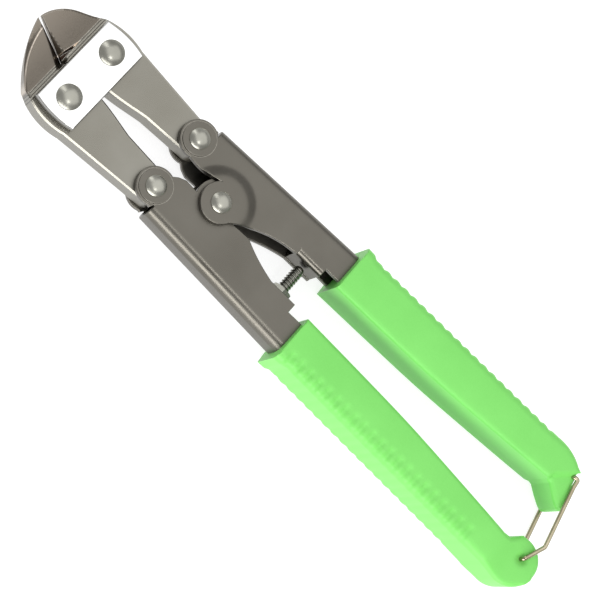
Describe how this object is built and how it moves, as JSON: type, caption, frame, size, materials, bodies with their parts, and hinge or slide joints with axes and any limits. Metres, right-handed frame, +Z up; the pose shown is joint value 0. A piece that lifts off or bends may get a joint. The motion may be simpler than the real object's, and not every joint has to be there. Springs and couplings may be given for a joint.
{
  "type": "mini bolt cutter",
  "caption": "Compound-lever mini bolt cutter with link plates, channel handles, green grips, stop screw and wire latch, shown closed.",
  "frame": {"origin": "under the middle of the closed tool's bounding box, on the surface that the grips lie on", "axes": "+X from the grips to the cutting jaws, +Y to the lower handle, +Z up out of the surface"},
  "size_m": [0.2052, 0.0422, 0.018],
  "materials": {
    "jaw_steel": "ground and lightly oiled dark steel",
    "link_plate_nickel": "bright nickel plate",
    "rivet_steel": "bright satin steel",
    "handle_steel": "satin warm-grey sheet steel",
    "spring_steel": "oiled spring steel",
    "screw_steel": "zinc-plated",
    "grip_green": "smooth light-green moulded vinyl",
    "latch_nickel": "nickel-plated wire"
  },
  "bodies": {
    "lower_handle": {"lower_handle_channel": "handle_steel", "lower_grip": "grip_green", "lower_tail_rivet": "rivet_steel", "centre_rivet": "rivet_steel", "spring_bush": "spring_steel", "return_spring": "spring_steel", "lock_nut": "screw_steel"},
    "upper_handle": {"upper_handle_channel": "handle_steel", "upper_grip": "grip_green", "upper_tail_rivet": "rivet_steel"},
    "lower_jaw_body": {"lower_jaw": "jaw_steel"},
    "upper_jaw_body": {"upper_jaw": "jaw_steel"},
    "link": {"front_link_plate": "link_plate_nickel", "rear_link_plate": "link_plate_nickel", "upper_jaw_rivet": "rivet_steel", "lower_jaw_rivet": "rivet_steel"},
    "stop": {"stop_screw": "screw_steel"},
    "latch": {"latch_wire": "latch_nickel"}
  },
  "joints": [
    {"name": "handle_pivot", "type": "hinge", "parent": "lower_handle", "child": "upper_handle", "pos_m": [0.0335, 0, 0.009], "axis": [0, 0, 1], "range_deg": [0, 24], "deforming": ["return_spring"]},
    {"name": "lower_jaw_pivot", "type": "hinge", "parent": "lower_handle", "child": "lower_jaw_body", "pos_m": [0.0493, 0.0091, 0.009], "axis": [0, 0, 1], "range_deg": [0, 18]},
    {"name": "upper_jaw_pivot", "type": "hinge", "parent": "upper_handle", "child": "upper_jaw_body", "pos_m": [0.0493, -0.0091, 0.009], "axis": [0, 0, -1], "range_deg": [0, 18]},
    {"name": "link_pivot", "type": "hinge", "parent": "lower_jaw_body", "child": "link", "pos_m": [0.0823, 0.0086, 0.009], "axis": [0, 0, -1], "range_deg": [0, 6]},
    {"name": "stop_screw_travel", "type": "slide", "parent": "lower_handle", "child": "stop", "axis": [0, 1, 0], "range_m": [0, 0.002]},
    {"name": "latch_swing", "type": "hinge", "parent": "lower_handle", "child": "latch", "pos_m": [-0.0955, 0.0124, 0.009], "axis": [0, 0, -1], "range_deg": [0, 160]}
  ],
  "couplings": [
    {"joint": "lower_jaw_pivot", "follows": "handle_pivot", "ratio": 0.75},
    {"joint": "upper_jaw_pivot", "follows": "handle_pivot", "ratio": 0.75},
    {"joint": "link_pivot", "follows": "handle_pivot", "ratio": 0.25}
  ]
}
